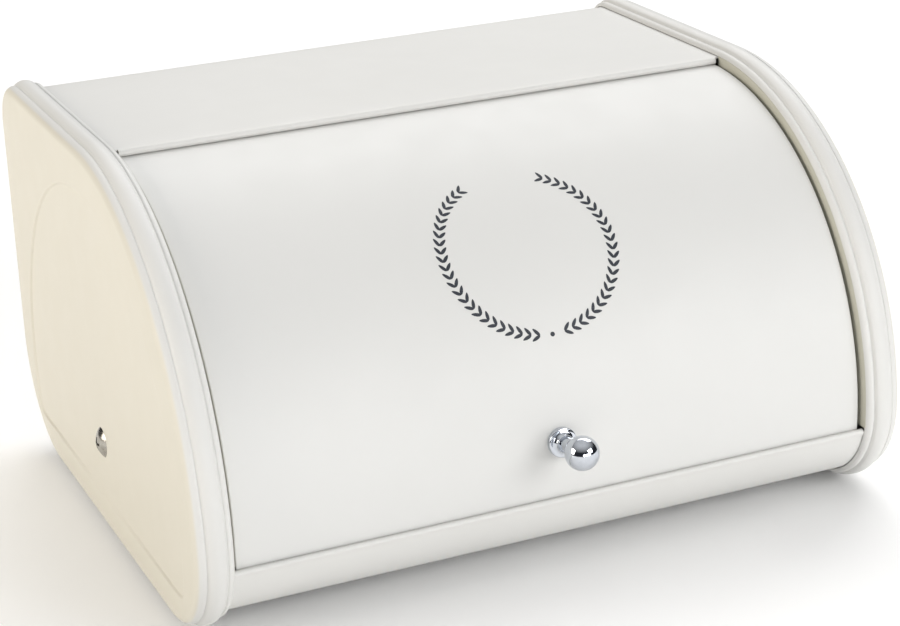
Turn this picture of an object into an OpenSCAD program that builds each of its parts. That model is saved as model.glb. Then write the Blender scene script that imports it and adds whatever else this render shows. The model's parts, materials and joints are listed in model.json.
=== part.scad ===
// Bread box with a roll top lid: a pressed sheet-steel box whose curved lid turns on two screws and
// slides up and back under the top. Width runs along X, the front faces -Y, and Z is up. The origin
// is on the worktop, at the middle of the space that the box takes.

/* [Overall] */
// Width over the two end panels
width = 334; // [280:1:420]
// Radius of the end panels' front edge, from the pivot axis
front_r = 140; // [120:1:170]
// Height of the pivot axis above the end panels' lower edge, and radius of the lower front corner
pivot_h = 45; // [40:1:60]
// Room behind the sweep of the front edge's radius, from there to the rear edge
back_room = 0; // [0:1:40]
// Radius of the upper rear corner
top_back_r = 24; // [20:1:50]
// Radius of the lower rear corner
base_back_r = 54; // [24:1:60]

/* [Sheet metal] */
// Thickness of the steel sheet
sheet = 0.8; // [0.6:0.1:1.0]
// Depth of an end panel's rim, along the width
rim_depth = 17; // [15:0.5:22]
// How far the rim stands proud of the top, back and base
rim_proud = 4.5; // [3.5:0.1:5.5]
// Fall from the crest of the rim's wide band to the grooves beside it
groove_fall = 2; // [0.8:0.1:2.4]
// Radius of the rounded shoulder between the flat end face and the rim
shoulder_r = 4.2; // [3:0.1:5]
// Radius of the pressed panel in the end face, from the pivot axis
recess_r = 118; // [90:1:120]
// Depth of the pressed panel
recess_depth = 1; // [0.4:0.1:1.5]
// Least distance from the pressed panel to the outer edge
recess_inset = 18; // [14:1:19]
// Radius of the rolled hem along the front edge of the top
hem_r = 1.5; // [1.2:0.1:2]
// Distance of that hem behind the pivot axis
hem_back = -3; // [-6:0.5:12]
// Radius of the rolled edge along the front lip
lip_bead_r = 1.4; // [0.9:0.1:1.4]
// Height of the front lip's edge below the pivot axis
lip_drop = 9; // [4:0.5:12]
// Depth of the wall that turns in from each rim beside the lid
opening_wall = 9; // [6:0.5:12]

/* [Lid] */
// Clearance between the lid and the hem above it
lid_gap = 0.4; // [0.4:0.1:1.2]
// Clearance between each end of the lid and the rim beside it
side_gap = 1.6; // [1.2:0.1:2.5]
// Overlap of the lid behind the front lip
lip_overlap = 4; // [3:0.5:5]
// Overlap of the lid under the top, behind the hem
top_overlap = 8; // [5:0.5:12]
// Travel of the lid from closed to open, in degrees
lid_travel = 76; // [60:1:77]
// Width of the flange that is welded under the lid
weld_flange = 10; // [6:1:14]
// Radius of the boss round each pivot hole
arm_boss_r = 16; // [13:1:20]

/* [Knob] */
// Angle of the knob above the horizontal, seen from the pivot
knob_angle = 6.8; // [5:0.1:12]
// Radius of the ball
ball_r = 7.5; // [6.5:0.1:9]
// Distance from the lid to the centre of the ball
ball_reach = 19.8; // [17:0.1:26]
// Radius of the base
knob_base_r = 6.6; // [6:0.1:8]
// Thickness of the base
knob_base_t = 2.4; // [2:0.1:4]
// Radius of the neck
neck_r = 3.4; // [3:0.1:4.5]

/* [Hardware] */
// Radius of the pivot screws' shanks
pivot_screw_r = 2.5; // [2:0.1:3]
// Radius of the domed screw heads
pivot_head_r = 7; // [6:0.1:7.5]
// Height of the domed screw heads
pivot_head_h = 2.8; // [2.2:0.1:3.2]
// Radius of the bushing's body
bushing_r = 8; // [7:0.5:10]
// Radius of the bushing's end that the lid turns on
journal_r = 4; // [3.5:0.1:5]
// Radial running clearance between that end and the lid
journal_clearance = 0.05; // [0.02:0.01:0.1]
// Side play of the lid's end plate on the bushing, at each face
side_play = 0.3; // [0.2:0.05:0.4]
// Radius of the knob screw's shank
knob_screw_r = 2; // [1.5:0.1:2.2]
// Distance of the stop bumpers from the pivot axis
stop_reach = 100; // [80:1:104]
// Radius of the rubber stop bumpers
stop_r = 5; // [4:0.5:6]
// Gap between a bumper and the lid's end plate at each end of the travel
stop_gap = 0.3; // [0.2:0.1:0.6]
// Height of the end panels' lower edge above the worktop
foot_lift = 1; // [0.5:0.5:3]
// Radius of a rubber foot
foot_r = 8; // [6:0.5:10]
// Distance of the feet in from the ends of the box
foot_inset = 40; // [30:1:60]
// Distance of the front feet ahead of the pivot axis
foot_front = 74; // [50:1:76]
// Distance of the rear feet behind the pivot axis
foot_rear = 70; // [50:1:76]
// Radius of the air holes in the back
vent_r = 2.5; // [1.5:0.5:4]
// Spacing of the air holes
vent_pitch = 14; // [10:1:16]
// Height of the air holes above the pivot axis
vent_rise = 92; // [60:1:92]

/* [Hidden] */
$fn = 96;
fine = 360;                                // facets of the large circles that small pieces seat on
cut = 1;                                   // how far a cut runs past the face that it opens
half_w = width / 2;
back_reach = front_r + back_room;          // distance from the pivot axis back to the rear edge
flat_in = 12;                              // width of the plain border that the rim section carries
wrap_out = rim_proud;                      // inset of the wrap's outer face from the panel's outline
wrap_in = rim_proud + sheet;
wrap_end = 3;                              // the wrap stops this far inside the end face
hem_end_gap = 2;                           // open gap between the hem's ends and the rims
rim_end_x = half_w - rim_depth;            // inner edge of the rim
bead_r = rim_proud - groove_fall;          // the rounded inner edge of the rim
bead_s = rim_depth - bead_r;               // depth of that edge's centre
groove_w = 0.6;
band_half = (bead_s - shoulder_r - 2 * groove_w) / 2;
band_r = (band_half * band_half + groove_fall * groove_fall) / (2 * groove_fall);
band_s = shoulder_r + groove_w + band_half;

lid_r = front_r - rim_proud - 2 * hem_r - lid_gap;
lid_in = lid_r - sheet;
lid_half = rim_end_x - side_gap;
lid_low = -asin((lip_drop + lip_overlap) / lid_r);
lid_high = 90 + asin((hem_back + hem_r + top_overlap) / lid_r);
lid_edge_r = 1;                            // rolled lower edge of the lid
plate_low = lid_low + 2;                   // the end plates stop short of the rolled edge
plate_s = half_w - lid_half;               // depth of the lid's end plate behind the end face
face_s = recess_depth + sheet;             // depth of the end panel's inner face at the pivot

corner_a = -(front_r - pivot_h);           // centre of the lower front corner
lip_a = corner_a - sqrt(pow(pivot_h - wrap_out, 2) - pow(lip_drop + lip_bead_r, 2));
wall_clear = 0.5;                          // gap from the wall beside the lid to the hem and the lip
wall_low = -asin((lip_drop - wall_clear) / front_r);
wall_high = 90 + asin((hem_back - wall_clear) / (front_r - wrap_in));

bushing_end_s = plate_s - side_play;
journal_end_s = plate_s + sheet + side_play;
washer_t = 1;
knob_washer_t = 1.2;
knob_washer_r = 6;
nut_t = 5;
nut_af = 8;
nut_hex_t = 3.5;                           // the hexagon, below the round collar of a locking nut
nut_collar_r = 3.8;
screw_past_nut = 1;
screw_end_s = journal_end_s + washer_t + nut_t + screw_past_nut;
pivot_drive = [6, 1.2, 1.4];               // length, width and depth of the cross recess
knob_drive = [4.4, 0.8, 1.2];
knob_head_r = 3.8;
knob_head_h = 2.4;
knob_screw_in = 9;                         // thread length inside the knob

stop_clear = asin((stop_r + stop_gap) / stop_reach);
stop_closed_angle = plate_low - stop_clear;
stop_open_angle = lid_high + lid_travel + stop_clear;
stud_r = 2.5;
stud_past_plate = 4;
stud_end_s = plate_s + stud_past_plate;
sleeve_start_s = 6;
sleeve_cap = 1;                            // rubber over the end of a stud

hole_clear = 0.1;                          // radial clearance of the screw and foot holes
foot_stem_r = 3;
foot_head_r = 5;
foot_head_t = 1.8;
foot_taper = 1;
vent_count = 5;
vent_group_x = 75;                         // centre of each group of air holes

knob_front = (lid_r + ball_reach) * cos(knob_angle) + ball_r;
pivot_y = (knob_front - back_reach) / 2;   // puts the origin midway between the knob and the back
pivot_z = foot_lift + pivot_h;

cream = [0.93, 0.90, 0.84];
chrome = [0.80, 0.81, 0.83];
zinc = [0.66, 0.68, 0.70];
nylon = [0.90, 0.90, 0.86];
rubber = [0.13, 0.13, 0.14];

// ---- frames ----------------------------------------------------------------------------------

// Children are drawn in the end view, with the pivot axis at the origin, [back, up], and +Z along +X.
module end_view(x = 0) {
    translate([x, pivot_y, pivot_z]) rotate([90, 0, 90]) children();
}

// Children are drawn in the end view with +Z as the depth in from the left end face.
module left_side() { end_view(-half_w) children(); }

module right_side() { mirror([1, 0, 0]) left_side() children(); }

// Children are drawn with +Z pointing out of the lid at an angle above the horizontal.
module out_of_lid(angle) {
    translate([0, pivot_y, pivot_z]) rotate([90 - angle, 0, 0]) children();
}

// Point in the end view at a radius and an angle above the forward horizontal.
function polar(r, angle) = [-r * cos(angle), r * sin(angle)];

// ---- outlines --------------------------------------------------------------------------------

// Outline of an end panel, moved in by an inset.
module outline(inset) {
    intersection() {
        circle(r = front_r - inset);
        translate([-front_r, 0]) square([front_r, front_r]);
    }
    translate([corner_a, 0]) circle(r = pivot_h - inset);
    translate([back_reach - base_back_r, base_back_r - pivot_h]) circle(r = base_back_r - inset);
    translate([back_reach - top_back_r, front_r - top_back_r]) circle(r = top_back_r - inset);
    polygon([
        [0, front_r - inset], [back_reach - top_back_r, front_r - inset],
        [back_reach - inset, front_r - top_back_r], [back_reach - inset, base_back_r - pivot_h],
        [back_reach - base_back_r, inset - pivot_h], [corner_a, inset - pivot_h],
        [corner_a, 0], [0, 0]
    ]);
}

// Sector of a disc about the pivot axis.
module sector(r, low, high) {
    reach = 2 * r;
    intersection() {
        circle(r = r);
        polygon([[0, 0], polar(reach, low), polar(reach, (low + high) / 2), polar(reach, high)]);
    }
}

module pressed_panel(inset) {
    intersection() {
        circle(r = recess_r - inset);
        outline(recess_inset + inset);
    }
}

// ---- end panels ------------------------------------------------------------------------------

// Filled section of the rim: x is the distance out from the outline, y the depth. skin moves it in.
module rim_fill(skin) {
    translate([-flat_in, skin]) square([flat_in - shoulder_r - groove_fall, rim_depth - skin]);
    translate([-flat_in, shoulder_r]) square([flat_in - groove_fall - skin, bead_s - shoulder_r]);
    translate([-shoulder_r - groove_fall, shoulder_r]) circle(r = shoulder_r - skin);
    intersection() {
        translate([-band_r, band_s]) circle(r = band_r - skin);
        translate([-rim_proud, 0]) square([rim_proud, rim_depth]);
    }
    translate([-rim_proud, bead_s]) circle(r = bead_r - skin);
}

module rim_section() {
    difference() {
        rim_fill(0);
        rim_fill(sheet);
        translate([-flat_in - cut, shoulder_r + groove_w]) square([flat_in + cut - rim_proud, rim_depth]);
    }
}

module rim_corner(centre, r, start) {
    translate([centre[0], centre[1], 0]) rotate([0, 0, start])
        rotate_extrude(angle = 90) translate([r, 0]) rim_section();
}

module rim_side(from, outward, length) {
    translate([from[0], from[1], 0]) rotate([0, 0, outward]) rotate([90, 0, 0])
        linear_extrude(length) rim_section();
}

module rim() {
    rim_corner([0, 0], front_r, 90);
    rim_corner([corner_a, 0], pivot_h, 180);
    rim_corner([back_reach - base_back_r, base_back_r - pivot_h], base_back_r, 270);
    rim_corner([back_reach - top_back_r, front_r - top_back_r], top_back_r, 0);
    rim_side([0, front_r], 90, back_reach - top_back_r);
    rim_side([back_reach, front_r - top_back_r], 0, front_r - top_back_r + pivot_h - base_back_r);
    rim_side([back_reach - base_back_r, -pivot_h], 270, back_reach - base_back_r - corner_a);
}

// Wall that turns in from the rim's inner edge, beside the lid.
module lid_side_wall() {
    translate([0, 0, rim_depth - sheet]) linear_extrude(sheet) intersection() {
        sector(front_r, wall_low, wall_high);
        difference() {
            outline(rim_proud);
            circle(r = front_r - rim_proud - opening_wall);
        }
    }
}

module end_face() {
    difference() {
        linear_extrude(sheet) outline(flat_in - cut);
        translate([0, 0, -cut]) linear_extrude(sheet + 2 * cut) pressed_panel(sheet);
    }
    difference() {
        linear_extrude(recess_depth + sheet) pressed_panel(0);
        translate([0, 0, -cut]) linear_extrude(recess_depth + cut) pressed_panel(sheet);
    }
}

// Weld stud that carries a stop bumper.
module stop_stud(angle) {
    at = polar(stop_reach, angle);
    translate([at[0], at[1], face_s]) cylinder(r = stud_r, h = stud_end_s - face_s);
}

module end_panel() {
    color(cream) difference() {
        union() {
            rim();
            lid_side_wall();
            end_face();
            stop_stud(stop_closed_angle);
            stop_stud(stop_open_angle);
        }
        translate([0, 0, -cut]) cylinder(r = pivot_screw_r + hole_clear, h = face_s + 2 * cut);
    }
}

// ---- body wrap -------------------------------------------------------------------------------

module wrap_section() {
    difference() {
        outline(wrap_out);
        outline(wrap_in);
        translate([-2 * front_r, -lip_drop - lip_bead_r]) square([2 * front_r + hem_back, 3 * front_r]);
    }
}

module body_wrap() {
    wrap_half = half_w - wrap_end;
    hem_half = rim_end_x - hem_end_gap;
    color(cream) difference() {
        union() {
            end_view(-wrap_half) linear_extrude(2 * wrap_half) wrap_section();
            end_view(-hem_half) translate([hem_back, front_r - wrap_out - hem_r, 0])
                cylinder(r = hem_r, h = 2 * hem_half);
            end_view(-rim_end_x) translate([lip_a + lip_bead_r / 2, -lip_drop - lip_bead_r, 0])
                cylinder(r = lip_bead_r, h = 2 * rim_end_x);
        }
        for (x = [-1, 1], y = [-foot_front, foot_rear])
            translate([x * (half_w - foot_inset), pivot_y + y, 0])
                cylinder(r = foot_stem_r + hole_clear, h = pivot_h / 2);
        for (x = [-1, 1], i = [0 : vent_count - 1])
            translate([x * vent_group_x + (i - (vent_count - 1) / 2) * vent_pitch,
                       pivot_y + back_reach, pivot_z + vent_rise])
                rotate([90, 0, 0]) cylinder(r = vent_r, h = 2 * wrap_in);
    }
}

// ---- lid -------------------------------------------------------------------------------------

module lid_panel() {
    edge = polar(lid_r - lid_edge_r, lid_low);
    color(cream) difference() {
        union() {
            end_view(-lid_half) linear_extrude(2 * lid_half) difference() {
                sector(lid_r, lid_low, lid_high);
                circle(r = lid_in);
            }
            end_view(-lid_half) translate([edge[0], edge[1], 0])
                cylinder(r = lid_edge_r, h = 2 * lid_half);
        }
        out_of_lid(knob_angle) cylinder(r = knob_screw_r + hole_clear, h = 2 * lid_r);
    }
}

// End plate of the lid: a fan that turns on the bushing, with a flange welded under the lid.
module lid_plate() {
    color(cream) difference() {
        union() {
            translate([0, 0, plate_s]) linear_extrude(sheet) {
                sector(lid_in, plate_low, lid_high);
                circle(r = arm_boss_r);
            }
            translate([0, 0, plate_s]) linear_extrude(weld_flange) difference() {
                sector(lid_in, plate_low, lid_high);
                circle(r = lid_in - sheet);
            }
        }
        translate([0, 0, plate_s - cut]) cylinder(r = journal_r + journal_clearance, h = sheet + 2 * cut);
    }
}

// ---- knob ------------------------------------------------------------------------------------

// Cross recess cut into a screw head whose top is at the origin and faces -Z.
module cross_slot(drive) {
    for (turn = [0, 90])
        rotate([0, 0, turn]) translate([-drive[0] / 2, -drive[1] / 2, -cut])
            cube([drive[0], drive[1], cut + drive[2]]);
}

module knob() {
    edge = knob_base_t / 3;
    sink = 2;                              // the base starts this far down, for the curved lid to trim
    color(chrome) difference() {
        out_of_lid(knob_angle) rotate_extrude() difference() {
            union() {
                translate([0, lid_r - sink]) square([knob_base_r, sink + knob_base_t - edge]);
                translate([0, lid_r]) square([knob_base_r - edge, knob_base_t]);
                translate([knob_base_r - edge, lid_r + knob_base_t - edge]) circle(r = edge);
                translate([0, lid_r]) square([neck_r, ball_reach]);
                intersection() {
                    translate([0, lid_r + ball_reach]) circle(r = ball_r);
                    translate([0, lid_r]) square([2 * ball_r, 2 * ball_reach]);
                }
            }
            square([knob_screw_r, lid_r + knob_screw_in + cut]);
            translate([-2 * ball_r, 0]) square([2 * ball_r, lid_r + 2 * ball_reach]);
        }
        end_view(-half_w) cylinder(r = lid_r, h = width, $fn = fine);
    }
}

module knob_washer() {
    color(zinc) intersection() {
        out_of_lid(knob_angle) translate([0, 0, lid_in - knob_washer_t]) difference() {
            cylinder(r = knob_washer_r, h = 3 * knob_washer_t);
            translate([0, 0, -cut]) cylinder(r = knob_screw_r + hole_clear, h = 5 * knob_washer_t);
        }
        end_view(-half_w) cylinder(r = lid_in, h = width, $fn = fine);
    }
}

module knob_screw() {
    color(zinc) out_of_lid(knob_angle) translate([0, 0, lid_in - knob_washer_t]) difference() {
        union() {
            translate([0, 0, -knob_head_h]) cylinder(r = knob_head_r, h = knob_head_h);
            cylinder(r = knob_screw_r, h = knob_washer_t + sheet + knob_screw_in);
        }
        translate([0, 0, -knob_head_h]) cross_slot(knob_drive);
    }
}

// ---- pivots ----------------------------------------------------------------------------------

// Domed head outside the end panel and a shank that reaches past the nut.
module pivot_screw() {
    dome_r = (pivot_head_r * pivot_head_r + pivot_head_h * pivot_head_h) / (2 * pivot_head_h);
    color(chrome) translate([0, 0, recess_depth]) difference() {
        union() {
            intersection() {
                translate([0, 0, dome_r - pivot_head_h]) sphere(r = dome_r);
                translate([0, 0, -2 * pivot_head_h]) cylinder(r = pivot_head_r, h = 2 * pivot_head_h);
            }
            cylinder(r = pivot_screw_r, h = screw_end_s - recess_depth);
        }
        translate([0, 0, -pivot_head_h]) cross_slot(pivot_drive);
    }
}

// Spacer between the end panel and the lid's end plate, with the journal that the plate turns on.
module pivot_bushing() {
    color(nylon) difference() {
        union() {
            translate([0, 0, face_s]) cylinder(r = bushing_r, h = bushing_end_s - face_s);
            translate([0, 0, face_s]) cylinder(r = journal_r, h = journal_end_s - face_s);
        }
        cylinder(r = pivot_screw_r, h = journal_end_s + cut);
    }
}

module pivot_washer() {
    color(zinc) translate([0, 0, journal_end_s]) difference() {
        cylinder(r = bushing_r, h = washer_t);
        translate([0, 0, -cut]) cylinder(r = pivot_screw_r, h = washer_t + 2 * cut);
    }
}

module pivot_nut() {
    hex_r = nut_af / 2 / cos(30);
    color(zinc) translate([0, 0, journal_end_s + washer_t]) difference() {
        union() {
            cylinder(r = hex_r, h = nut_hex_t, $fn = 6);
            cylinder(r = nut_collar_r, h = nut_t);
        }
        translate([0, 0, -cut]) cylinder(r = pivot_screw_r, h = nut_t + 2 * cut);
    }
}

// Rubber sleeve pushed over a weld stud.
module stop_bumper(angle) {
    at = polar(stop_reach, angle);
    color(rubber) translate([at[0], at[1], sleeve_start_s]) difference() {
        cylinder(r = stop_r, h = stud_end_s + sleeve_cap - sleeve_start_s);
        translate([0, 0, -cut]) cylinder(r = stud_r, h = stud_end_s - sleeve_start_s + cut);
    }
}

// Push-in rubber foot: a tapered pad, a stem through the base and a head above it.
module foot(x_side, y) {
    pad_h = foot_lift + rim_proud;
    color(rubber) translate([x_side * (half_w - foot_inset), pivot_y + y, 0]) {
        cylinder(r1 = foot_r - foot_taper, r2 = foot_r, h = pad_h);
        cylinder(r = foot_stem_r, h = pad_h + sheet + foot_head_t);
        translate([0, 0, pad_h + sheet]) cylinder(r1 = foot_head_r, r2 = foot_stem_r, h = foot_head_t);
    }
}

left_side() end_panel();  // left_end_panel
right_side() end_panel();  // right_end_panel
body_wrap();
lid_panel();
left_side() lid_plate();  // left_lid_plate
right_side() lid_plate();  // right_lid_plate
knob();
knob_screw();
knob_washer();
left_side() pivot_screw();  // left_pivot_screw
right_side() pivot_screw();  // right_pivot_screw
left_side() pivot_bushing();  // left_pivot_bushing
right_side() pivot_bushing();  // right_pivot_bushing
left_side() pivot_washer();  // left_pivot_washer
right_side() pivot_washer();  // right_pivot_washer
left_side() pivot_nut();  // left_pivot_nut
right_side() pivot_nut();  // right_pivot_nut
left_side() stop_bumper(stop_closed_angle);  // left_closed_stop
right_side() stop_bumper(stop_closed_angle);  // right_closed_stop
left_side() stop_bumper(stop_open_angle);  // left_open_stop
right_side() stop_bumper(stop_open_angle);  // right_open_stop
foot(-1, -foot_front);  // front_left_foot
foot(1, -foot_front);  // front_right_foot
foot(-1, foot_rear);  // rear_left_foot
foot(1, foot_rear);  // rear_right_foot
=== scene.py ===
"""Looks for the roll top bread box: pressed steel panels, rolled hems, a chrome knob and a printed wreath.

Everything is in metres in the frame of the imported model. Sheet parts are drawn in the end view, as (y, z)
from the pivot axis, with x along the width. A side is -1 for the left and 1 for the right.
"""
import json
import math

import bmesh
import bpy
from mathutils import Matrix, Vector

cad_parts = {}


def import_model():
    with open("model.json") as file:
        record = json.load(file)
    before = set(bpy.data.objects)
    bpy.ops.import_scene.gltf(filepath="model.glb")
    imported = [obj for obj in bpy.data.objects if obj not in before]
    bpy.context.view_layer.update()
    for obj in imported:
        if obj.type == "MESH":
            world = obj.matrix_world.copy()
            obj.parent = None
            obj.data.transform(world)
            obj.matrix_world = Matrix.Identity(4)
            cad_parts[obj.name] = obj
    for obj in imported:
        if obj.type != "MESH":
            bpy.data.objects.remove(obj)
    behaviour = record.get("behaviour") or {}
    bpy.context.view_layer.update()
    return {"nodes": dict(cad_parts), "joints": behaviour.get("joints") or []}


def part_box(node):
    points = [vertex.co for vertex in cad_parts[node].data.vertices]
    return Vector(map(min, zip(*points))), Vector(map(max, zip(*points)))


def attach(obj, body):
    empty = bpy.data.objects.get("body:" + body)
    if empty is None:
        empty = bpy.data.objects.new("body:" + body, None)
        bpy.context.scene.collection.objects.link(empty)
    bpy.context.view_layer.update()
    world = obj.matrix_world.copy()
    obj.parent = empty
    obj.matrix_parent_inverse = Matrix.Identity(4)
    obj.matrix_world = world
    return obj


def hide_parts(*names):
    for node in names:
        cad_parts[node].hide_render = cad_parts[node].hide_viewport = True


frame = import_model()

MM = 0.001

# ---- sizes that the frame gives ----------------------------------------------------------------

PIVOT = Vector(frame["joints"][0]["pos_m"])
panel_low, panel_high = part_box("left_end_panel")

HALF_W = round(-panel_low.x, 4)
FRONT_R = round(PIVOT.y - panel_low.y, 3)
PIVOT_H = round(PIVOT.z - panel_low.z, 3)
BACK = round(panel_high.y - PIVOT.y, 3)
WRAP_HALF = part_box("body_wrap")[1].x
LID_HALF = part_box("lid_panel")[1].x

# ---- sizes of the end panels ---------------------------------------------------------------------

SHEET = 0.8 * MM
TOP_BACK_R = 24 * MM                # radii of the outline's two rear corners
BASE_BACK_R = 54 * MM

RIM_DEPTH = 17 * MM
RIM_PROUD = 4.5 * MM
RIM_END_X = HALF_W - RIM_DEPTH
BAND_FALL = 2 * MM                  # from the crest of the rim's band to the grooves beside it
SHOULDER_R = 4.2 * MM
BEAD_R = RIM_PROUD - BAND_FALL
BEAD_S = RIM_DEPTH - BEAD_R
GROOVE_W = 0.6 * MM
BAND_HALF = (BEAD_S - SHOULDER_R - 2 * GROOVE_W) / 2
BAND_S = SHOULDER_R + GROOVE_W + BAND_HALF
BAND_R = (BAND_HALF ** 2 + BAND_FALL ** 2) / (2 * BAND_FALL)
CREASES = [                         # the rim's two fine creases: place in its depth, depth, width
    (BEAD_S - 0.9 * MM, 0.5 * MM, 0.5 * MM),
    (SHOULDER_R + 0.4 * MM, 0.25 * MM, 0.6 * MM),
]

RECESS_R = 118 * MM
RECESS_INSET = 18 * MM
RECESS_DEPTH = 1 * MM
RECESS_CORNER = 26                  # a higher power makes the pressed panel's corners sharper
RECESS_STEP = [                     # its pressed step: mm outside its edge, share of its depth
    (1.2, 0), (0.6, 0.03), (0.25, 0.2), (0, 0.5), (-0.25, 0.8), (-0.6, 0.97), (-1.2, 1),
]
PIVOT_HOLE_R = 2.6 * MM

WALL_DEPTH = 9 * MM                 # of the wall that turns in from each rim beside the lid
WALL_CLEAR = 0.5 * MM
WALL_LAP = 0.3 * MM                 # how far it laps into the rim

STUD_R = 2.5 * MM
STUD_LENGTH = 8 * MM
WELD_COLLAR = [(0.7 * MM, -0.1 * MM), (0.3 * MM, 0.4 * MM), (0, 0.7 * MM)]  # reach past the stud, height

# ---- sizes of the wrap, the lid and the knob -----------------------------------------------------

HEM_R = 1.5 * MM
HEM_Y = -3 * MM
HEM_HALF = RIM_END_X - 2 * MM
SKIM = 0.06 * MM                    # the hem's clearance over the lid
LIP_R = 1.4 * MM
LIP_DROP = 9 * MM
LIP_BLEND = 3.2 * MM                # from the lip's edge down to where its roll starts
LIP_SHIFT = 0.2 * MM                # the lip's roll leans in towards the lid

VENT_R, VENT_PITCH, VENT_RISE = 2.5 * MM, 14 * MM, 92 * MM
VENT_GROUP_X, VENT_COUNT = 75 * MM, 5
FOOT_HOLE_R = 3.1 * MM

LID_GAP = 0.4 * MM
LIP_OVERLAP = 4 * MM
TOP_OVERLAP = 8 * MM
LID_R = FRONT_R - RIM_PROUD - 2 * HEM_R - LID_GAP
LID_LOW = -math.degrees(math.asin((LIP_DROP + LIP_OVERLAP) / LID_R))
LID_HIGH = 90 + math.degrees(math.asin((HEM_Y + HEM_R + TOP_OVERLAP) / LID_R))
LID_EDGE_R = 1 * MM                 # roll of the lower edge
LID_TURN_R = 0.7 * MM               # turn of the two ends

KNOB_ANGLE = 6.8
BALL_R = 7.5 * MM
BALL_REACH = 19.8 * MM
KNOB_BASE_R, KNOB_BASE_T, KNOB_EDGE_R = 6.6 * MM, 2.2 * MM, 0.7 * MM
NECK_R, NECK_COVE_R = 3.4 * MM, 2.2 * MM

# ---- small helpers ------------------------------------------------------------------------------

UP, FRONT = Vector((0, 0, 1)), Vector((0, -1, 0))
TINY = 0.01 * MM
PRESSED_SHARP, TURNED_SHARP = 35, 40   # edges sharper than this stay hard, on sheet and turned pieces


def hand(side):
    """Word for a side in the names of nodes and pieces."""
    return "left" if side < 0 else "right"


def polar(r, angle):
    """Point (y, z) from the pivot, at an angle in degrees above the forward horizontal."""
    a = math.radians(angle)
    return (-r * math.cos(a), r * math.sin(a))


def place(x, y, z):
    """A point of the end view in the row frame."""
    return Vector((x, PIVOT.y + y, PIVOT.z + z))


def arc(cy, cz, r, start, end, steps):
    """Points (y, z) round a centre; angles in degrees from +y towards +z."""
    points = []
    for i in range(steps + 1):
        a = math.radians(start + (end - start) * i / steps)
        points.append((cy + r * math.cos(a), cz + r * math.sin(a)))
    return points


def line(a, b, spacing):
    """Points from a to b, without the ends."""
    count = max(1, round(math.dist(a, b) / spacing))
    return [(a[0] + (b[0] - a[0]) * i / count, a[1] + (b[1] - a[1]) * i / count) for i in range(1, count)]


def grid_faces(bm, rows, closed=False):
    """Joins rows of points into quads. Returns the rows of vertices."""
    made = [[bm.verts.new(p) for p in row] for row in rows]
    for upper, lower in zip(made, made[1:]):
        count = len(upper)
        for i in range(count if closed else count - 1):
            j = (i + 1) % count
            bm.faces.new((upper[i], upper[j], lower[j], lower[i]))
    return made


def face_outwards(bm, rank, direction):
    """Makes a sheet's faces agree, with its top-ranked face towards a direction."""
    bmesh.ops.recalc_face_normals(bm, faces=bm.faces)
    if max(bm.faces, key=rank).normal.dot(direction) < 0:
        bmesh.ops.reverse_faces(bm, faces=bm.faces)


def height(face):
    return face.calc_center_median().z


def face_each(bm, direction):
    """Turns each face of a thin sheet towards a direction."""
    for face in bm.faces:
        face.normal_update()
        if face.normal.dot(direction) < 0:
            face.normal_flip()


def as_object(name, bm):
    """Turns a bmesh into an object with smooth faces."""
    mesh = bpy.data.meshes.new(name)
    bm.to_mesh(mesh)
    bm.free()
    for polygon in mesh.polygons:
        polygon.use_smooth = True
    piece = bpy.data.objects.new(name, mesh)
    bpy.context.scene.collection.objects.link(piece)
    return piece


def lathe(name, profile, origin, axis, segments):
    """Turns (radius, height) pairs about an axis through an origin."""
    bm = bmesh.new()
    turn = axis.to_track_quat("Z", "Y").to_matrix().to_4x4()
    angles = [2 * math.pi * i / segments for i in range(segments)]
    rows = []
    for r, h in profile:
        rows.append([origin + turn @ Vector((r * math.cos(a), r * math.sin(a), h)) for a in angles])
    made = grid_faces(bm, rows, closed=True)
    for row, (r, h) in ((made[0], profile[0]), (made[-1], profile[-1])):
        if r < TINY:
            bmesh.ops.pointmerge(bm, verts=row, merge_co=origin + turn @ Vector((0, 0, h)))
        else:
            bm.faces.new(row)
    bmesh.ops.recalc_face_normals(bm, faces=bm.faces)
    piece = as_object(name, bm)
    piece.data.set_sharp_from_angle(angle=math.radians(TURNED_SHARP))
    return piece


def bake_modifiers(piece):
    """Applies a piece's modifiers and marks its hard edges."""
    graph = bpy.context.evaluated_depsgraph_get()
    graph.update()
    mesh = bpy.data.meshes.new_from_object(piece.evaluated_get(graph))
    piece.modifiers.clear()
    piece.data = mesh
    for polygon in mesh.polygons:
        polygon.use_smooth = True
    mesh.set_sharp_from_angle(angle=math.radians(PRESSED_SHARP))


def thicken(piece):
    """Gives a sheet its thickness, behind its outer face."""
    solid = piece.modifiers.new("thickness", "SOLIDIFY")
    solid.thickness = SHEET
    solid.offset = -1
    solid.use_even_offset = True


def wear(piece, material):
    piece.data.materials.clear()
    piece.data.materials.append(material)


def outline():
    """Edge of an end panel: (point, outward normal) round it, in the end view."""
    spacing = 3 * MM
    arcs = [
        (BACK - TOP_BACK_R, FRONT_R - TOP_BACK_R, TOP_BACK_R, 0, 90, 20),
        (0, 0, FRONT_R, 90, 180, 90),
        (PIVOT_H - FRONT_R, 0, PIVOT_H, 180, 270, 36),
        (BACK - BASE_BACK_R, BASE_BACK_R - PIVOT_H, BASE_BACK_R, 270, 360, 36),
    ]
    result = []
    for cy, cz, r, start, end, steps in arcs:
        points = arc(cy, cz, r, start, end, steps)
        normals = [((y - cy) / r, (z - cz) / r) for y, z in points]
        if result:
            last = result[-1][0]
            if math.dist(last, points[0]) > TINY:
                result += [(p, normals[0]) for p in line(last, points[0], spacing)]
            else:
                points, normals = points[1:], normals[1:]
        result += list(zip(points, normals))
    result += [(p, result[0][1]) for p in line(result[-1][0], result[0][0], spacing)]
    return result


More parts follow.
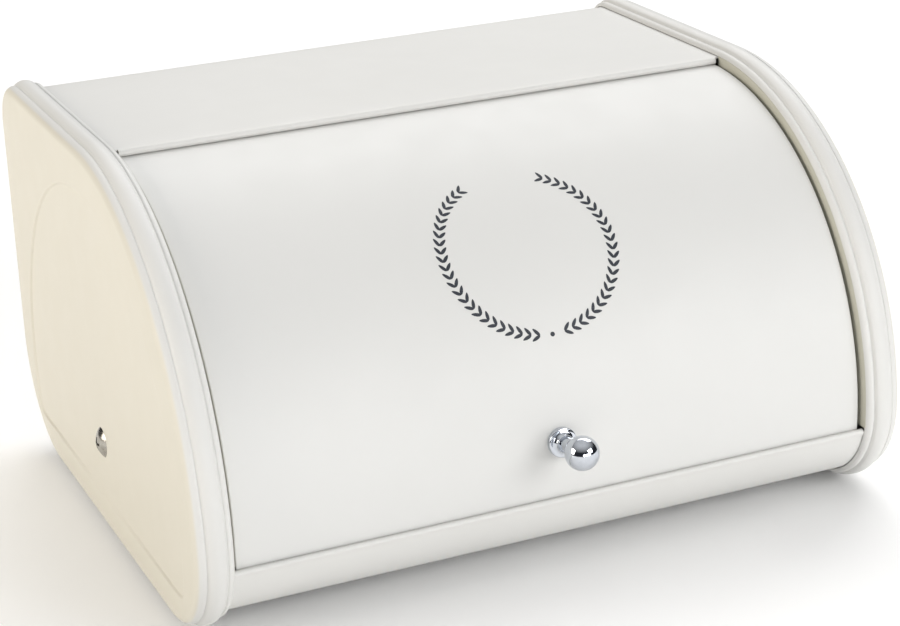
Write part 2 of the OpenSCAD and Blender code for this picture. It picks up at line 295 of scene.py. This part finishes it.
# ---- materials ----------------------------------------------------------------------------------


def new_material(name, color, roughness, metallic=0.0):
    material = bpy.data.materials.new(name)
    material.use_nodes = True
    shader = material.node_tree.nodes["Principled BSDF"]
    shader.inputs["Base Color"].default_value = (*color, 1)
    shader.inputs["Roughness"].default_value = roughness
    shader.inputs["Metallic"].default_value = metallic
    return material, shader


def noise(material, scale, detail=2.0, stretch=None):
    """A noise texture in the piece's own space. Returns its value output."""
    tree = material.node_tree
    coords = tree.nodes.new("ShaderNodeTexCoord")
    texture = tree.nodes.new("ShaderNodeTexNoise")
    texture.inputs["Scale"].default_value = scale
    texture.inputs["Detail"].default_value = detail
    source = coords.outputs["Object"]
    if stretch:
        mapping = tree.nodes.new("ShaderNodeMapping")
        mapping.inputs["Scale"].default_value = stretch
        tree.links.new(source, mapping.inputs["Vector"])
        source = mapping.outputs["Vector"]
    tree.links.new(source, texture.inputs["Vector"])
    return texture.outputs["Fac"]


def color_ramp(tree, value, first, second, low, high):
    """Colour that runs from first to second as a value rises from low to high. Returns its output."""
    node = tree.nodes.new("ShaderNodeValToRGB")
    for element, position, color in zip(node.color_ramp.elements, (low, high), (first, second)):
        element.position = position
        element.color = (*color, 1)
    tree.links.new(value, node.inputs["Fac"])
    return node.outputs["Color"]


def vary_color(material, shader, value, first, second):
    """Base colour drifts from first to second as the value rises."""
    tree = material.node_tree
    tree.links.new(color_ramp(tree, value, first, second, 0.35, 0.65), shader.inputs["Base Color"])


def vary_roughness(material, shader, value, low, high):
    """Roughness drifts from low to high as the value rises."""
    tree = material.node_tree
    spread = tree.nodes.new("ShaderNodeMapRange")
    spread.inputs["From Min"].default_value = 0.3
    spread.inputs["From Max"].default_value = 0.7
    spread.inputs["To Min"].default_value = low
    spread.inputs["To Max"].default_value = high
    tree.links.new(value, spread.inputs["Value"])
    tree.links.new(spread.outputs["Result"], shader.inputs["Roughness"])


def bump(material, shader, value, strength, distance):
    tree = material.node_tree
    node = tree.nodes.new("ShaderNodeBump")
    node.inputs["Strength"].default_value = strength
    node.inputs["Distance"].default_value = distance
    tree.links.new(value, node.inputs["Height"])
    tree.links.new(node.outputs["Normal"], shader.inputs["Normal"])


def darker(color, share):
    return tuple(c * share for c in color)


def paint(name, color):
    """Satin powder coat: a faint orange peel, and colour and gloss that drift a little."""
    material, shader = new_material(name, color, 0.5)
    vary_color(material, shader, noise(material, 9, 3), darker(color, 0.975), color)
    vary_roughness(material, shader, noise(material, 60, 3), 0.47, 0.55)
    bump(material, shader, noise(material, 1400, 2), 0.10, 0.05 * MM)
    return material


WARM_LIGHT_FADE_START, WARM_LIGHT_FADE_END = 2.2 * MM, 0.9 * MM   # where the painted warm light on the end panels' flat fades in, in from the end face


def panel_paint_and_painted_light(face, rim):
    """The same powder coat, with painted warm light: the flat of the end panels is coloured creamier,
    fading to the rim's colour.
    """
    material = paint("panel_paint_and_painted_light", rim)
    tree = material.node_tree
    shader = tree.nodes["Principled BSDF"]
    rim_color = shader.inputs["Base Color"].links[0].from_socket
    # painted warm light: the creamier colour of the flat stands in for the warm side lamp's light on the
    # end faces
    painted_warm_light_color = color_ramp(tree, noise(material, 7, 3), darker(face, 0.97), face, 0.3, 0.7)
    coords = tree.nodes.new("ShaderNodeTexCoord")
    split = tree.nodes.new("ShaderNodeSeparateXYZ")
    across = tree.nodes.new("ShaderNodeMath")
    across.operation = "ABSOLUTE"
    fade = tree.nodes.new("ShaderNodeMapRange")
    fade.inputs["From Min"].default_value = HALF_W - WARM_LIGHT_FADE_START
    fade.inputs["From Max"].default_value = HALF_W - WARM_LIGHT_FADE_END
    fade.interpolation_type = "SMOOTHSTEP"
    mix = tree.nodes.new("ShaderNodeMix")
    mix.data_type = "RGBA"
    factor, first, second, result = mix.inputs[0], mix.inputs[6], mix.inputs[7], mix.outputs[2]
    tree.links.new(coords.outputs["Object"], split.inputs["Vector"])
    tree.links.new(split.outputs["X"], across.inputs[0])
    tree.links.new(across.outputs["Value"], fade.inputs["Value"])
    tree.links.new(fade.outputs["Result"], factor)
    tree.links.new(rim_color, first)
    tree.links.new(painted_warm_light_color, second)
    tree.links.new(result, shader.inputs["Base Color"])
    return material


def chrome_plate():
    material, shader = new_material("chrome_plate", (0.62, 0.65, 0.70), 0.07, 1.0)
    vary_color(material, shader, noise(material, 300, 2), (0.60, 0.63, 0.68), (0.65, 0.68, 0.73))
    vary_roughness(material, shader, noise(material, 900, 4, (1, 1, 6)), 0.05, 0.10)
    return material


def nickel_plate_painted_reflection():
    # a satin nickel finish on the pivot screws, its colour set darker and browner than plating as painted
    # reflection of what the heads show
    material, shader = new_material("nickel_plate_painted_reflection", (0.42, 0.40, 0.36), 0.24, 1.0)
    vary_color(material, shader, noise(material, 400, 3), (0.36, 0.34, 0.30), (0.46, 0.44, 0.40))
    vary_roughness(material, shader, noise(material, 800, 3), 0.18, 0.30)
    return material


def zinc_plate():
    material, shader = new_material("zinc_plate", (0.60, 0.62, 0.65), 0.38, 1.0)
    vary_color(material, shader, noise(material, 700, 3), (0.52, 0.54, 0.57), (0.68, 0.70, 0.73))
    vary_roughness(material, shader, noise(material, 500, 3), 0.30, 0.46)
    return material


def natural_nylon():
    material, shader = new_material("natural_nylon", (0.80, 0.79, 0.74), 0.5)
    vary_color(material, shader, noise(material, 160, 2), (0.77, 0.76, 0.70), (0.83, 0.82, 0.78))
    bump(material, shader, noise(material, 1200, 2), 0.15, 0.05 * MM)
    return material


def black_rubber():
    material, shader = new_material("black_rubber", (0.035, 0.035, 0.038), 0.78)
    vary_color(material, shader, noise(material, 220, 3), (0.025, 0.025, 0.027), (0.05, 0.05, 0.053))
    bump(material, shader, noise(material, 1500, 3), 0.35, 0.1 * MM)
    return material


def wreath_ink():
    material, shader = new_material("wreath_ink", (0.02, 0.024, 0.034), 0.6)
    vary_color(material, shader, noise(material, 1500, 2), (0.014, 0.017, 0.025), (0.026, 0.031, 0.043))
    return material


BODY_COLOR = (0.672, 0.667, 0.644)
BODY_PAINT = paint("body_paint", BODY_COLOR)
# the first colour is painted warm light on the end panels' flat; the second is the plain body colour
PANEL_PAINT_AND_PAINTED_LIGHT = panel_paint_and_painted_light((0.682, 0.648, 0.556), BODY_COLOR)
# painted shade: a darker, olive copy of the body paint for the wall in the gap beside the lid
WALL_PAINTED_SHADE = paint("wall_painted_shade", (0.56, 0.545, 0.455))
LID_PAINT = paint("lid_paint", (0.672, 0.670, 0.652))
CHROME = chrome_plate()
# the pivot screws' plate: darker, browner colour is painted reflection
NICKEL_PAINTED_REFLECTION = nickel_plate_painted_reflection()
ZINC = zinc_plate()
NYLON = natural_nylon()
RUBBER = black_rubber()
INK = wreath_ink()

# ---- end panels ---------------------------------------------------------------------------------


def rim_profile():
    """The rim's outer skin as (depth in from the end face, inset from the outline), from its free edge.

    The free edge stops just above the wrap, which leaves the dark seam beside it.
    """
    steps = 64
    profile = arc(BEAD_S, RIM_PROUD, BEAD_R, -9, -90, 9)
    for i in range(1, steps):
        s = BEAD_S + (SHOULDER_R - BEAD_S) * i / steps
        inset = BAND_FALL
        across = BAND_R ** 2 - (s - BAND_S) ** 2
        if across > 0:
            inset = min(inset, BAND_R - math.sqrt(across))
        for at, depth, width in CREASES:
            inset += depth * math.exp(-(((s - at) / width) ** 2))
        profile.append((s, inset))
    return profile + arc(SHOULDER_R, BAND_FALL + SHOULDER_R, SHOULDER_R, -90, -180, 10)


def recess_reach(direction):
    """Distance from the pivot to the pressed panel's edge, its corners rounded."""
    bottom = PIVOT_H - RECESS_INSET
    down = max(-direction[1], 1e-6)
    return (RECESS_R ** -RECESS_CORNER + (bottom / down) ** -RECESS_CORNER) ** (-1 / RECESS_CORNER)


def step_width(direction):
    """The pressed step is crisp round the ring and fades out towards the straight bottom."""
    return 1 + 2.4 * min(1, max(0, (0.15 - direction[1]) / 0.5))


def side_wall(side):
    """Wall that turns in from the rim's inner edge beside the lid; its darker, olive colour is painted
    shade with a warm tint of bounced light.
    """
    low = -math.degrees(math.asin((LIP_DROP - WALL_CLEAR) / FRONT_R))
    high = 90 + math.degrees(math.asin((HEM_Y - WALL_CLEAR) / (FRONT_R - RIM_PROUD)))
    outer = FRONT_R - RIM_PROUD + WALL_LAP
    steps = 72
    angles = [low + (high - low) * i / steps for i in range(steps + 1)]
    bm = bmesh.new()
    grid_faces(bm, [[place(side * RIM_END_X, *polar(outer - WALL_DEPTH * share, a)) for a in angles]
                    for share in (0, 0.25, 0.6, 1)])
    face_each(bm, Vector((-side, 0, 0)))
    piece = as_object(hand(side) + "_lid_side_wall", bm)
    thicken(piece)
    bake_modifiers(piece)
    wear(piece, WALL_PAINTED_SHADE)
    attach(piece, "box")
    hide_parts(hand(side) + "_end_panel")


def end_panel(side):
    """Pressed panel with its beaded rim and its recessed middle."""
    edge = outline()
    rings = []
    for depth, inset in rim_profile():
        x = side * (HALF_W - depth)
        rings.append([place(x, p[0] - n[0] * inset, p[1] - n[1] * inset) for p, n in edge])
    flat_inset = BAND_FALL + SHOULDER_R
    inner = [(p[0] - n[0] * flat_inset, p[1] - n[1] * flat_inset) for p, n in edge]
    directions = [(y / math.hypot(y, z), z / math.hypot(y, z)) for y, z in inner]
    for out, drop in RECESS_STEP:
        x = side * (HALF_W - drop * RECESS_DEPTH)
        reaches = [recess_reach(d) + out * step_width(d) * MM for d in directions]
        rings.append([place(x, d[0] * reach, d[1] * reach) for d, reach in zip(directions, reaches)])
    x = side * (HALF_W - RECESS_DEPTH)
    for share in (0.7, 0.4, 0.15):
        reaches = [recess_reach(d) * share for d in directions]
        rings.append([place(x, d[0] * reach, d[1] * reach) for d, reach in zip(directions, reaches)])
    rings.append([place(x, d[0] * PIVOT_HOLE_R, d[1] * PIVOT_HOLE_R) for d in directions])
    bm = bmesh.new()
    grid_faces(bm, rings, closed=True)
    face_outwards(bm, lambda face: abs(face.normal.x) * face.calc_area(), Vector((side, 0, 0)))
    piece = as_object(hand(side) + "_pressed_end_panel", bm)
    thicken(piece)
    bake_modifiers(piece)
    wear(piece, PANEL_PAINT_AND_PAINTED_LIGHT)
    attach(piece, "box")
    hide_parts(hand(side) + "_end_panel")


for side in (-1, 1):
    end_panel(side)
    side_wall(side)

# ---- body wrap ----------------------------------------------------------------------------------


def wrap_paths():
    """The wrap's outer face in the end view: the hem's roll, the sheet, and the lip's roll."""
    spacing = 8 * MM
    top_z = FRONT_R - RIM_PROUD
    roll = (top_z - LID_R - SKIM) / 2
    hem = arc(HEM_Y, top_z - roll, roll, 372, 90, 30)
    corner_y = PIVOT_H - FRONT_R
    corner_r = PIVOT_H - RIM_PROUD
    rear_y = BACK - BASE_BACK_R
    sheet = [hem[-1]]
    top_corner = arc(BACK - TOP_BACK_R, FRONT_R - TOP_BACK_R, TOP_BACK_R - RIM_PROUD, 90, 0, 20)
    low_corner = arc(rear_y, BASE_BACK_R - PIVOT_H, BASE_BACK_R - RIM_PROUD, 0, -90, 28)
    lip_z = -LIP_DROP - LIP_R
    lip_a = corner_y - math.sqrt(corner_r ** 2 - lip_z ** 2)
    lip_end = math.degrees(math.asin((LIP_DROP + LIP_BLEND) / corner_r))
    front = arc(corner_y, 0, corner_r, -90, -180 + lip_end, 30)
    for part in (top_corner, low_corner, front):
        sheet += line(sheet[-1], part[0], spacing) + part
    lip = [front[-1]] + arc(lip_a + LIP_R / 2 + LIP_SHIFT, lip_z, LIP_R, 205, -60, 26)
    return hem, sheet, lip


def columns(half, spacing):
    """Places across the width, from -half to half."""
    count = round(2 * half / spacing)
    return [-half + 2 * half * i / count for i in range(count + 1)]


def body_wrap():
    """One sheet round the top, back, base and lip, with its rolled hems and its air holes."""
    hem, sheet, lip = wrap_paths()
    bm = bmesh.new()
    inner = columns(HEM_HALF, 9 * MM)
    wide = [-WRAP_HALF, -RIM_END_X] + inner + [RIM_END_X, WRAP_HALF]
    lipped = [-RIM_END_X] + inner + [RIM_END_X]
    for path, xs in ((hem, inner), (sheet, wide), (lip, lipped)):
        grid_faces(bm, [[place(x, y, z) for x in xs] for y, z in path])
    bmesh.ops.remove_doubles(bm, verts=bm.verts, dist=TINY)
    face_outwards(bm, height, UP)
    piece = as_object("rolled_body_wrap", bm)
    thicken(piece)
    bake_modifiers(piece)
    cutters = hole_cutters()
    cut = piece.modifiers.new("holes", "BOOLEAN")
    cut.operation = "DIFFERENCE"
    cut.solver = "EXACT"
    cut.object = cutters
    bake_modifiers(piece)
    bpy.data.objects.remove(cutters)
    wear(piece, BODY_PAINT)
    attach(piece, "box")
    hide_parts("body_wrap")


def peg(bm, spot, r, length):
    bmesh.ops.create_cone(bm, cap_ends=True, segments=40, radius1=r, radius2=r, depth=length, matrix=spot)


def hole_cutters():
    """Pegs that cut the air holes in the back and the foot holes in the base."""
    bm = bmesh.new()
    lying = Matrix.Rotation(math.pi / 2, 4, "X")
    for side in (-1, 1):
        for i in range(VENT_COUNT):
            x = side * VENT_GROUP_X + (i - (VENT_COUNT - 1) / 2) * VENT_PITCH
            peg(bm, Matrix.Translation(place(x, BACK - RIM_PROUD, VENT_RISE)) @ lying, VENT_R, 8 * MM)
    for node in ("front_left_foot", "front_right_foot", "rear_left_foot", "rear_right_foot"):
        low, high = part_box(node)
        spot = Vector(((low.x + high.x) / 2, (low.y + high.y) / 2, PIVOT.z - PIVOT_H))
        peg(bm, Matrix.Translation(spot), FOOT_HOLE_R, 20 * MM)
    return as_object("hole_pegs", bm)


body_wrap()

# ---- lid ----------------------------------------------------------------------------------------


def lid_panel():
    """Curved lid sheet with a rolled lower edge and turned ends."""
    steps = 84
    ends = arc(LID_HALF - LID_TURN_R, LID_TURN_R, LID_TURN_R, -90, 0, 6)
    middle = [(x, 0) for x in columns(LID_HALF - 8 * MM, 7 * MM)]
    across = [(-x, drop) for x, drop in reversed(ends)] + middle + ends
    rows = []
    for i in range(steps + 1):
        angle = LID_HIGH + (LID_LOW - LID_HIGH) * i / steps
        rows.append([place(x, *polar(LID_R - drop, angle)) for x, drop in across])
    # the roll goes on from the lower edge, inwards round its own centre
    centre = polar(LID_R - LID_EDGE_R, LID_LOW)
    for y, z in arc(*centre, LID_EDGE_R, 180 - LID_LOW, 450 - LID_LOW, 18)[1:]:
        rows.append([place(x, y, z) for x, drop in across])
    bm = bmesh.new()
    grid_faces(bm, rows)
    face_outwards(bm, height, UP)
    piece = as_object("curved_lid_panel", bm)
    thicken(piece)
    bake_modifiers(piece)
    wear(piece, LID_PAINT)
    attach(piece, "lid")
    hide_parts("lid_panel")


lid_panel()

# ---- printed wreath -----------------------------------------------------------------------------

WREATH_R = 39.3 * MM
WREATH_X = 3.5 * MM
WREATH_ANGLE = 43.9                 # the wreath's centre, above the horizontal
WREATH_PAIRS = 25
FIRST_LEAF, LEAF_PITCH = 8.5, 5.85  # places of the leaf pairs round the wreath, in degrees from its foot
LEAF_LENGTH, LEAF_WIDTH = 4.4 * MM, 1.55 * MM
LEAF_SKEW, LEAF_BELLY = 0.8, 0.55   # below 1, these move the widest part to the stem and round the ends
PRINT_LIFT = 0.04 * MM
INNER_LEAN, OUTER_LEAN = 42, 34
DOT_R = 1.05 * MM


def on_lid(x, up):
    """A point printed on the lid: across the width, and up along the lid from the wreath's centre."""
    return place(WREATH_X + x, *polar(LID_R + PRINT_LIFT, WREATH_ANGLE + math.degrees(up / LID_R)))


def leaf(bm, x, up, heading):
    """One leaf that starts at a point and runs along a heading, in radians."""
    steps = 12
    along_x, along_up = math.cos(heading), math.sin(heading)
    left, right = [], []
    for i in range(steps + 1):
        t = i / steps
        half = LEAF_WIDTH / 2 * max(math.sin(math.pi * t ** LEAF_SKEW), 0.01) ** LEAF_BELLY
        cx, cu = x + along_x * LEAF_LENGTH * t, up + along_up * LEAF_LENGTH * t
        left.append(on_lid(cx - along_up * half, cu + along_x * half))
        right.append(on_lid(cx + along_up * half, cu - along_x * half))
    grid_faces(bm, [left, right])


def wreath():
    """Two plain sprigs of paired leaves that curve up from a dot, open at the top, with no lettering."""
    bm = bmesh.new()
    for side in (-1, 1):
        for i in range(WREATH_PAIRS):
            turn = math.radians(FIRST_LEAF + LEAF_PITCH * i)
            x, up = side * WREATH_R * math.sin(turn), -WREATH_R * math.cos(turn)
            for lean in (INNER_LEAN, -OUTER_LEAN):
                heading = turn + math.radians(lean)
                leaf(bm, x, up, heading if side > 0 else math.pi - heading)
    dot = arc(0, -WREATH_R, DOT_R, 0, 360, 24)[:-1]
    bm.faces.new([bm.verts.new(on_lid(x, up)) for x, up in dot])
    face_each(bm, FRONT)
    piece = as_object("printed_wreath", bm)
    wear(piece, INK)
    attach(piece, "lid")


wreath()

# ---- knob ---------------------------------------------------------------------------------------


def knob():
    """A ball on a coved neck, with a round base that seats on the lid."""
    profile = [(KNOB_BASE_R, -0.2 * MM)]
    profile += arc(KNOB_BASE_R - KNOB_EDGE_R, KNOB_BASE_T - KNOB_EDGE_R, KNOB_EDGE_R, 0, 75, 8)
    profile += arc(NECK_R + NECK_COVE_R, KNOB_BASE_T + NECK_COVE_R, NECK_COVE_R, 262, 180, 14)
    meet = math.degrees(math.asin(NECK_R / BALL_R))
    profile += arc(0, BALL_REACH, BALL_R, -90 + meet, 90, 48)
    y, z = polar(LID_R, KNOB_ANGLE)
    piece = lathe("chrome_ball_knob", profile, place(0, y, z), Vector((0, y, z)).normalized(), 128)
    wear(piece, CHROME)
    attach(piece, "lid")
    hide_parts("knob")


knob()

# ---- weld studs ---------------------------------------------------------------------------------


def weld_stud(side, which):
    """Stud welded to the end panel, with a small weld collar; it carries a stop's rubber sleeve."""
    name = hand(side) + "_" + which
    low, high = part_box(name + "_stop")
    face = Vector((side * (HALF_W - RECESS_DEPTH - SHEET), (low.y + high.y) / 2, (low.z + high.z) / 2))
    profile = [(STUD_R + past, at) for past, at in WELD_COLLAR] + [(STUD_R, STUD_LENGTH)]
    piece = lathe(name + "_weld_stud", profile, face, Vector((-side, 0, 0)), 48)
    wear(piece, ZINC)
    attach(piece, "box")
    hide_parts(hand(side) + "_end_panel")


for side in (-1, 1):
    for which in ("closed", "open"):
        weld_stud(side, which)

# ---- CAD pieces that stay -----------------------------------------------------------------------

FINISHES = {"knob_screw": ZINC, "pivot_screw": NICKEL_PAINTED_REFLECTION, "washer": ZINC, "nut": ZINC, "bushing": NYLON,
            "stop": RUBBER, "foot": RUBBER, "lid_plate": LID_PAINT}
for name, node in frame["nodes"].items():
    for word, finish in FINISHES.items():
        if word in name:
            for slot in node.material_slots:
                slot.material = finish

# ---- floor, light and camera --------------------------------------------------------------------


def floor():
    """Plain pale floor, wide enough to fill every view."""
    bm = bmesh.new()
    reach = 9.0
    grid_faces(bm, [[Vector((x, y, 0)) for x in (-reach, reach)] for y in (reach, -reach)])
    piece = as_object("studio_floor", bm)
    material, shader = new_material("studio_floor", (0.96, 0.96, 0.96), 0.9)
    vary_color(material, shader, noise(material, 3, 2), (0.95, 0.95, 0.95), (0.97, 0.97, 0.97))
    wear(piece, material)


def softbox(name, place_at, aim, size, power, color=(1, 1, 1)):
    """Rectangular light at a place, turned to an aim; sizes in metres, power in watts."""
    light = bpy.data.lights.new(name, "AREA")
    light.shape = "RECTANGLE"
    light.size, light.size_y = size
    light.energy = power
    light.color = color
    box = bpy.data.objects.new(name, light)
    box.location = place_at
    box.rotation_euler = (Vector(aim) - Vector(place_at)).to_track_quat("-Z", "Y").to_euler()
    bpy.context.scene.collection.objects.link(box)


def world():
    """Even studio surround: dim at the horizon, bright overhead."""
    made = bpy.data.worlds.new("studio")
    bpy.context.scene.world = made
    made.use_nodes = True
    tree = made.node_tree
    background = tree.nodes["Background"]
    coords = tree.nodes.new("ShaderNodeTexCoord")
    split = tree.nodes.new("ShaderNodeSeparateXYZ")
    tree.links.new(coords.outputs["Generated"], split.inputs["Vector"])
    shade = color_ramp(tree, split.outputs["Z"], (0.035, 0.038, 0.045), (1, 1, 1), 0.40, 0.94)
    tree.links.new(shade, background.inputs["Color"])
    background.inputs["Strength"].default_value = 0.7


def camera():
    """The photograph's viewing angle, with the small roll that the photograph has."""
    azimuth, elevation, roll = -23.22, 19.25, 2.26
    target = Vector((8.9, 1.15, 106.7)) * MM
    distance = 1110.9 * MM
    a, e, tilt = math.radians(azimuth), math.radians(elevation), math.radians(roll)
    back = Vector((math.sin(a) * math.cos(e), -math.cos(a) * math.cos(e), math.sin(e)))
    level = (-back).cross(UP).normalized()
    below = (-back).cross(level)
    right = math.cos(tilt) * level + math.sin(tilt) * below
    down = math.cos(tilt) * below - math.sin(tilt) * level
    data = bpy.data.cameras.new("camera")
    data.sensor_width = 36
    data.lens = 95.28
    data.shift_x = -0.0104
    data.shift_y = -0.0638
    made = bpy.data.objects.new("camera", data)
    turn = Matrix((right, -down, back)).transposed().to_4x4()
    made.matrix_world = Matrix.Translation(target + back * distance) @ turn
    bpy.context.scene.collection.objects.link(made)
    bpy.context.scene.camera = made


floor()
world()
softbox("overhead", (1.6, 2.0, 2.4), (0, 0, 0.1), (3.4, 2.4), 85)
softbox("key", (1.3, -2.0, 1.1), (0, 0, 0.1), (1.4, 1.0), 23)
softbox("low_front", (0.3, -2.8, 0.45), (0, 0, 0.1), (2.4, 0.6), 30)
softbox("side", (-2.0, 0.1, 0.8), (-0.1, 0, 0.1), (1.2, 1.0), 26, (1, 0.95, 0.87))
camera()
bpy.context.scene.view_settings.view_transform = "Standard"
